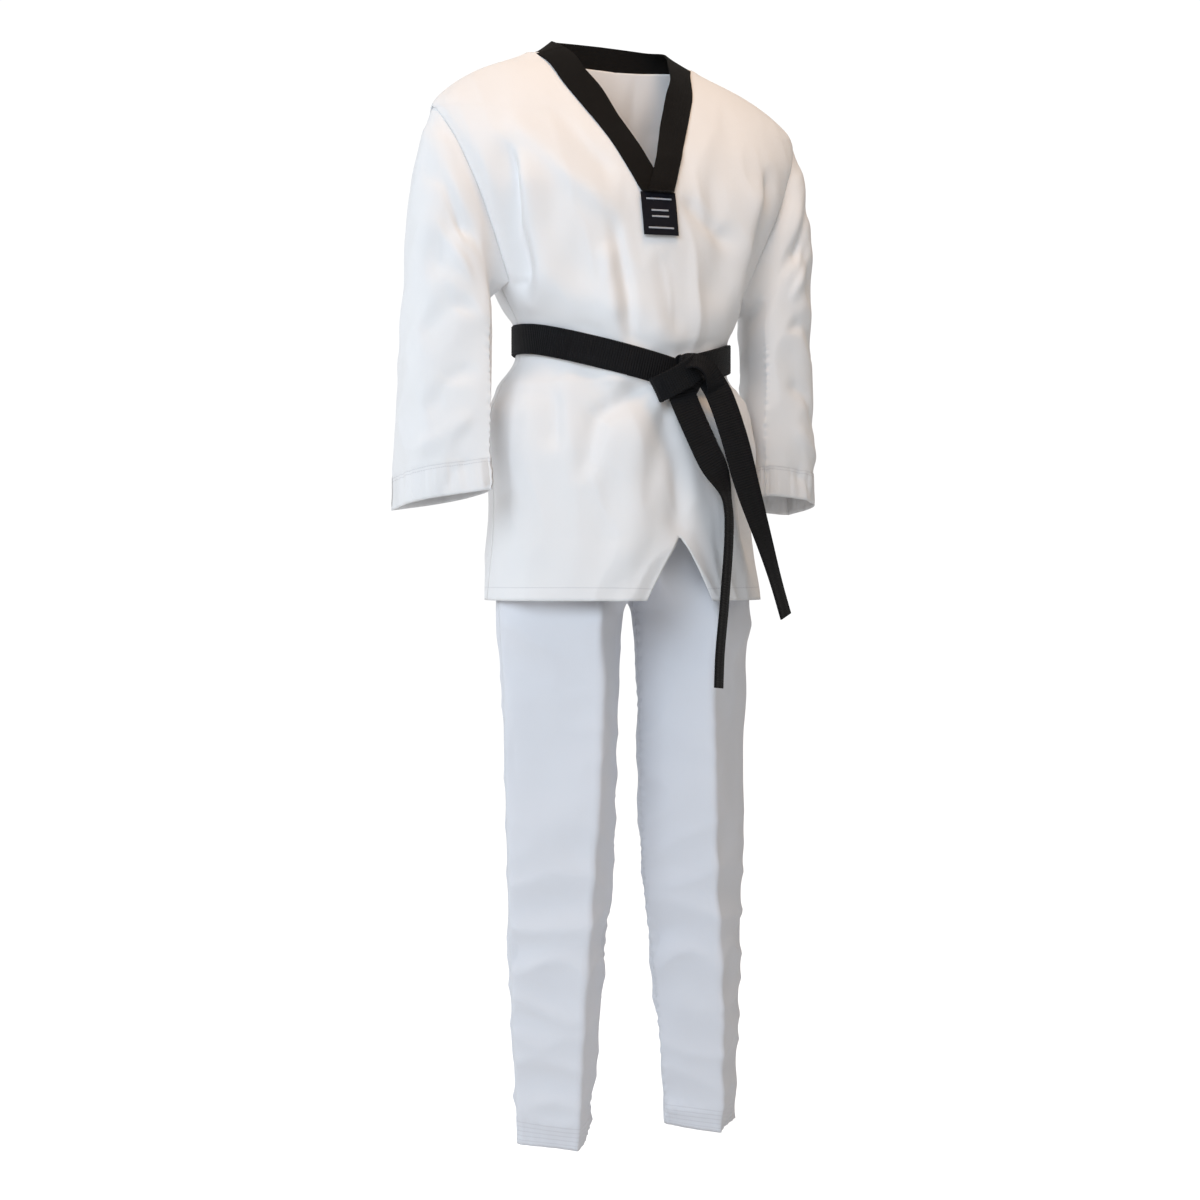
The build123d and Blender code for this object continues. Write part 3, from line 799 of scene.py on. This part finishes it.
def build_knot():
    """An upright pass round the wraps, a band that slants over it, and the turn down to the short tail."""
    turns = np.linspace(0, 2 * pi, UPRIGHT_POINTS, endpoint=False)
    lean = radians(20)
    up = 0.0215 * bulge(np.cos(turns), 2.4)
    depth = KNOT.y + 0.001 - 0.0125 * bulge(np.sin(turns), 2.2)
    loop = xyz(0.030 + up * sin(lean), depth, KNOT.z + 0.004 + up * cos(lean))
    flat = (cos(lean), 0, -sin(lean))
    upright = strap_mesh("belt_knot_upright", loop, flat, width=0.038, closed=True)

    band = [
        (-0.006, -0.1290, -0.062),
        (-0.015, -0.1350, -0.064),
        (-0.014, -0.1430, -0.063),
        (-0.004, -0.1495, -0.058),
        (0.014, -0.1525, -0.048),
        (0.030, -0.1515, -0.038),
        (0.040, -0.1460, -0.032),
        (0.044, -0.1370, -0.030),
    ]
    over = strap_mesh("belt_knot_over", through(band, 70), (-0.50, 0, 0.87), width=0.034)

    arc = [
        (0.018, -0.1380, -0.030),
        (0.026, -0.1475, -0.0255),
        (0.040, -0.1530, -0.0270),
        (0.054, -0.1530, -0.0370),
        (0.064, -0.1500, -0.0540),
        (0.066, -0.1440, -0.0680),
    ]
    line = through(arc, 50)
    share = smooth_step(np.linspace(0, 1, len(line)))[:, None]
    wide = np.array([0.2, 0.75, 0.7]) * (1 - share) + np.array([0.86, 0.05, 0.42]) * share
    side = strap_mesh("belt_knot_side", line, wide, width=0.030)
    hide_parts("belt_knot_core")
    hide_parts("belt_knot_wrap")
    return [upright, over, side]


def build_long_tail():
    """The longer tail, which turns its edge towards the camera half way down the skirt."""
    path = [
        (0.016, -0.1400, -0.056),
        (0.023, -0.1490, -0.084),
        (0.047, -0.1570, -0.140),
        (0.069, -0.1630, -0.187),
        (0.074, -0.1690, -0.230),
        (0.064, -0.1760, -0.330),
        (0.055, -0.1800, -0.400),
        (0.052, -0.1820, -0.444),
    ]
    line = through(path, 130)
    twist = smooth_step((-0.150 - line[:, 2]) / 0.060)[:, None]
    across = np.array([0.92, 0, 0.39]) * (1 - twist) + np.array([0.69, 0.723, 0]) * twist
    piece = strap_mesh("belt_tail_under", line, across)
    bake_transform(piece)
    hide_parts("belt_tail_long")
    return piece


def build_short_tail():
    """The tail that slants outwards over the skirt."""
    path = [
        (0.061, -0.1410, -0.046),
        (0.071, -0.1500, -0.070),
        (0.087, -0.1570, -0.120),
        (0.105, -0.1620, -0.187),
        (0.132, -0.1660, -0.270),
        (0.158, -0.1690, -0.354),
    ]
    line = through(path, 110)
    twist = smooth_step((-0.130 - line[:, 2]) / 0.20)[:, None]
    across = np.array([0.95, 0.0, 0.30]) * (1 - twist) + np.array([0.779, 0.629, 0.06]) * twist
    piece = strap_mesh("belt_tail_over", line, across)
    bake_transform(piece)
    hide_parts("belt_tail_short")
    return piece


def build_belt(material):
    fixed = build_wraps() + build_knot()
    for piece in fixed:
        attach(piece, "uniform")
    for piece in fixed + [build_long_tail(), build_short_tail()]:
        piece.data.materials.append(material)


# ---- hidden pieces ----
GUSSET_HALF = 0.030
GUSSET_Z = -0.331


def build_hidden(cloth, elastic_finish):
    """Waistband casing, its elastic and the crotch gusset."""
    turns = np.linspace(0, 2 * pi, 260, endpoint=False)
    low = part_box("trouser_waistband")[0].z
    heights = np.linspace(WAISTBAND_TOP_Z, low, 12)
    gathers = 0.0012 * np.sin(turns * 64 + 2 * np.sin(turns * 9))[None, :]
    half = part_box("trouser_waistband")[1].x
    x = (half - 0.001 + gathers) * bulge(np.cos(turns), 2.1)[None, :]
    depth = np.where(np.sin(turns) < 0, 0.093, 0.071)
    y = (depth[None, :] + gathers) * bulge(np.sin(turns), 2.1)[None, :]
    z = heights[:, None]
    casing = grid_mesh("waistband_casing", xyz(x, y, z), around=True)
    make_cloth(casing, cloth)
    inner = xyz(x * 0.975, y * 0.965, z * 0.72 + 0.001)
    elastic = grid_mesh("waistband_elastic", inner, around=True)
    make_cloth(elastic, elastic_finish)
    share = np.linspace(-1, 1, 30)
    across = np.linspace(-GUSSET_HALF, GUSSET_HALF, 14)
    rise, side = np.meshgrid(share, across, indexing="ij")
    arch = GUSSET_Z + 0.040 * rise**2 + 0.004 * (1 - (side / GUSSET_HALF) ** 2)
    gusset = grid_mesh("gusset_cloth", xyz(side, -0.018 + rise * 0.068, arch))
    make_cloth(gusset, cloth)
    for piece, node, slot in (
        (casing, "trouser_waistband", "trouser_cloth"),
        (elastic, "waist_elastic", "elastic"),
        (gusset, "crotch_gusset", "trouser_cloth"),
    ):
        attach(piece, "uniform")
        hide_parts(node)


# ---- materials ----
def new_material(name, colour, roughness):
    material = bpy.data.materials.new(name)
    material.use_nodes = True
    shader = material.node_tree.nodes["Principled BSDF"]
    shader.inputs["Base Color"].default_value = (*colour, 1)
    shader.inputs["Roughness"].default_value = roughness
    return material, material.node_tree, shader


def node(tree, kind, **settings):
    made = tree.nodes.new(kind)
    for name, value in settings.items():
        setattr(made, name, value)
    return made


def calculate(tree, operation, first, second=0.0):
    """One sum, with numbers or other nodes' outputs going in."""
    made = node(tree, "ShaderNodeMath", operation=operation)
    for socket, value in zip(made.inputs, (first, second)):
        if isinstance(value, (int, float)):
            socket.default_value = value
        else:
            tree.links.new(value, socket)
    return made.outputs[0]


def times(tree, first, second):
    return calculate(tree, "MULTIPLY", first, second)


def wave(tree, place, pitch, kind="SINE"):
    """Swings between -1 and 1, once in each pitch."""
    return calculate(tree, kind, times(tree, place, 2 * pi / pitch))


def cloth_place(tree):
    """U and V of the cloth, in metres."""
    place = node(tree, "ShaderNodeUVMap", uv_map="cloth")
    parts = node(tree, "ShaderNodeSeparateXYZ")
    tree.links.new(place.outputs[0], parts.inputs[0])
    return place.outputs[0], parts.outputs[0], parts.outputs[1]


def noise_value(tree, place, scale, detail=3.0):
    made = node(tree, "ShaderNodeTexNoise")
    made.inputs["Scale"].default_value = scale
    made.inputs["Detail"].default_value = detail
    tree.links.new(place, made.inputs["Vector"])
    return made.outputs["Fac"]


def mixed(tree, share, first, second):
    made = node(tree, "ShaderNodeMix", data_type="RGBA")
    tree.links.new(share, made.inputs["Factor"])
    made.inputs["A"].default_value = (*first, 1)
    if isinstance(second, tuple):
        made.inputs["B"].default_value = (*second, 1)
    else:
        tree.links.new(second, made.inputs["B"])
    return made.outputs["Result"]


def add_bump(tree, shader, height, strength, distance):
    bump = node(tree, "ShaderNodeBump")
    bump.inputs["Strength"].default_value = strength
    bump.inputs["Distance"].default_value = distance
    tree.links.new(height, bump.inputs["Height"])
    tree.links.new(bump.outputs["Normal"], shader.inputs["Normal"])


def weave(tree, u, v, pitch):
    """Plain weave: threads over and under each other."""
    return times(tree, wave(tree, u, pitch), wave(tree, v, pitch))


STITCH = 0.0032  # length of one stitch and the gap after it, on a hem and on a strap
STRAP_STITCH = 0.0026


def stitch_rows(tree, u, v, first, pitch, count):
    """1 on rows of stitches that run along the hem, and 0 elsewhere."""
    row = calculate(tree, "DIVIDE", calculate(tree, "SUBTRACT", v, first - pitch / 2), pitch)
    above = calculate(tree, "GREATER_THAN", row, 0.0)
    below = calculate(tree, "LESS_THAN", row, float(count))
    inside = times(tree, above, below)
    centre = calculate(tree, "ABSOLUTE", calculate(tree, "SUBTRACT", calculate(tree, "FRACT", row), 0.5))
    line = calculate(tree, "LESS_THAN", centre, 0.0006 / pitch)
    dash = calculate(tree, "GREATER_THAN", wave(tree, u, STITCH), -0.45)
    return times(tree, times(tree, line, dash), inside)


def cloth_material(name, colour, shade, hem_rows):
    """White cotton drill with a fine weave, slight unevenness and stitched hem rows."""
    material, tree, shader = new_material(name, colour, 0.88)
    place, u, v = cloth_place(tree)
    patches = noise_value(tree, place, 9.0)
    stitches = stitch_rows(tree, u, v, *hem_rows)
    plain = mixed(tree, times(tree, patches, 0.75), colour, shade)
    made = node(tree, "ShaderNodeMix", data_type="RGBA")
    tree.links.new(times(tree, stitches, 0.35), made.inputs["Factor"])
    tree.links.new(plain, made.inputs["A"])
    made.inputs["B"].default_value = (0.42, 0.42, 0.46, 1)
    tree.links.new(made.outputs["Result"], shader.inputs["Base Color"])
    threads = times(tree, weave(tree, u, v, 0.0011), 0.10)
    slubs = times(tree, noise_value(tree, place, 260.0, 2.0), 0.25)
    raised = calculate(tree, "ADD", threads, slubs)
    height = calculate(tree, "SUBTRACT", raised, times(tree, stitches, 1.2))
    add_bump(tree, shader, height, 0.5, 0.0006)
    shader.inputs["Sheen Weight"].default_value = 0.25
    shader.inputs["Sheen Roughness"].default_value = 0.5
    return material


def ribbed_material(name, colour, pale, row_pitch, rib_pitch=0.0013):
    """Dark stitched strap: rows of stitching along it and ribs of the weave across it."""
    material, tree, shader = new_material(name, colour, 0.58)
    place, u, v = cloth_place(tree)
    rows = wave(tree, u, row_pitch, "COSINE")
    dash = wave(tree, v, STRAP_STITCH)
    threads = times(tree, weave(tree, u, v, 0.0012), 0.2)
    in_row = calculate(tree, "GREATER_THAN", rows, 0.72)
    groove = times(tree, in_row, calculate(tree, "ADD", dash, 1.4))
    worn = noise_value(tree, place, 40.0)
    share = calculate(tree, "ADD", times(tree, worn, 0.4), times(tree, groove, 0.10))
    tree.links.new(mixed(tree, share, colour, pale), shader.inputs["Base Color"])
    ribs = times(tree, wave(tree, v, rib_pitch), 0.5)
    height = calculate(tree, "ADD", times(tree, groove, -0.35), calculate(tree, "ADD", threads, ribs))
    add_bump(tree, shader, height, 0.9, 0.0008)
    shader.inputs["Specular IOR Level"].default_value = 0.16
    return material


# ---- light, floor and camera ----
CAMERA_TURN = radians(25)
CAMERA_DISTANCE = 2.75
CAMERA_HEIGHT = -0.300
CAMERA_SIDESTEP = 0.027
CAMERA_LENS = 61.5
CAMERA_DROP = radians(0.70)


def build_camera():
    data = bpy.data.cameras.new("camera")
    data.lens = CAMERA_LENS
    data.sensor_width = 36
    camera = add_object("camera", data)
    towards = Vector((sin(CAMERA_TURN), cos(CAMERA_TURN), 0))
    right = Vector((cos(CAMERA_TURN), -sin(CAMERA_TURN), 0))
    camera.location = -towards * CAMERA_DISTANCE - right * CAMERA_SIDESTEP + Vector((0, 0, CAMERA_HEIGHT))
    camera.rotation_euler = (pi / 2 - CAMERA_DROP, 0, -CAMERA_TURN)
    bpy.context.scene.camera = camera


def build_light():
    """White surroundings that look brighter than they light, two cool lamps, and a warm one above."""
    bpy.context.scene.view_settings.view_transform = "Standard"
    world = bpy.data.worlds.new("studio")
    bpy.context.scene.world = world
    world.use_nodes = True
    tree = world.node_tree
    background = tree.nodes["Background"]
    background.inputs["Color"].default_value = (1.0, 0.955, 0.905, 1)
    background.inputs["Strength"].default_value = 0.40
    backdrop = node(tree, "ShaderNodeBackground")
    backdrop.inputs["Color"].default_value = (1, 1, 1, 1)
    backdrop.inputs["Strength"].default_value = 1.05
    ray = node(tree, "ShaderNodeLightPath")
    either = node(tree, "ShaderNodeMixShader")
    tree.links.new(ray.outputs["Is Camera Ray"], either.inputs[0])
    tree.links.new(background.outputs[0], either.inputs[1])
    tree.links.new(backdrop.outputs[0], either.inputs[2])
    tree.links.new(either.outputs[0], tree.nodes["World Output"].inputs["Surface"])
    lamps = (
        ("key", (-2.0, -1.9, 1.1), 49, 1.8, (0.77, 0.88, 1.0)),
        ("rim", (-1.6, 1.2, 0.1), 10, 0.6, (0.90, 0.95, 1.0)),
        ("top", (0.0, -0.50, 1.15), 4.6, 0.4, (1.0, 0.58, 0.25)),
    )
    for name, place, power, size, colour in lamps:
        data = bpy.data.lights.new(name, "AREA")
        data.energy = power
        data.size = size
        data.color = colour
        lamp = add_object(name, data)
        lamp.location = place
        lamp.rotation_euler = (Vector((0, 0, -0.3)) - Vector(place)).to_track_quat("-Z", "Y").to_euler()


def build_floor():
    mesh = bpy.data.meshes.new("floor")
    reach = 8
    z = LEG_HEM_Z - 0.05
    corners = [(-reach, -reach, z), (reach, -reach, z), (reach, reach, z), (-reach, reach, z)]
    mesh.from_pydata(corners, [], [(0, 1, 2, 3)])
    floor = add_object("floor", mesh)
    material, tree, shader = new_material("floor_finish", (0.9, 0.9, 0.9), 0.8)
    grain = noise_value(tree, node(tree, "ShaderNodeTexCoord").outputs["Object"], 30.0)
    tree.links.new(mixed(tree, grain, (0.90, 0.90, 0.90), (0.93, 0.93, 0.93)), shader.inputs["Base Color"])
    shader.inputs["Emission Color"].default_value = (1, 1, 1, 1)
    seen = node(tree, "ShaderNodeLightPath").outputs["Is Camera Ray"]
    tree.links.new(times(tree, seen, 0.75), shader.inputs["Emission Strength"])
    floor.data.materials.append(material)


jacket_white = cloth_material("jacket_white", (0.86, 0.86, 0.865), (0.82, 0.82, 0.83), (0.017, 0.004, 1))
sleeve_white = cloth_material("sleeve_white", (0.86, 0.86, 0.865), (0.82, 0.82, 0.83), (0.037, 0.004, 2))
# The trousers' white is painted darker and bluer than the jacket's white of the same cloth: painted shade and
# painted cool light.
trouser_shaded_white = cloth_material("trouser_shaded_white", (0.76, 0.78, 0.83), (0.72, 0.74, 0.79), (0.006, 0.006, 5))
belt_black = ribbed_material("belt_black", (0.0035, 0.0036, 0.0045), (0.012, 0.013, 0.016), 0.0036, 0.0034)
collar_black = ribbed_material("collar_black", (0.0040, 0.0034, 0.0032), (0.013, 0.011, 0.010), 0.0058)
label_navy = ribbed_material("label_navy", (0.005, 0.006, 0.012), (0.012, 0.013, 0.022), 0.0020)
label_thread = ribbed_material("label_thread", (0.55, 0.57, 0.62), (0.70, 0.72, 0.78), 0.0012)
elastic_white = cloth_material("elastic_white", (0.72, 0.72, 0.73), (0.66, 0.66, 0.68), (0.004, 0.005, 5))
build_jacket(jacket_white)
build_sleeves(sleeve_white)
build_trousers(trouser_shaded_white)
build_collar(collar_black)
build_label(label_navy, label_thread)
build_belt(belt_black)
build_hidden(trouser_shaded_white, elastic_white)
build_camera()
build_light()
build_floor()
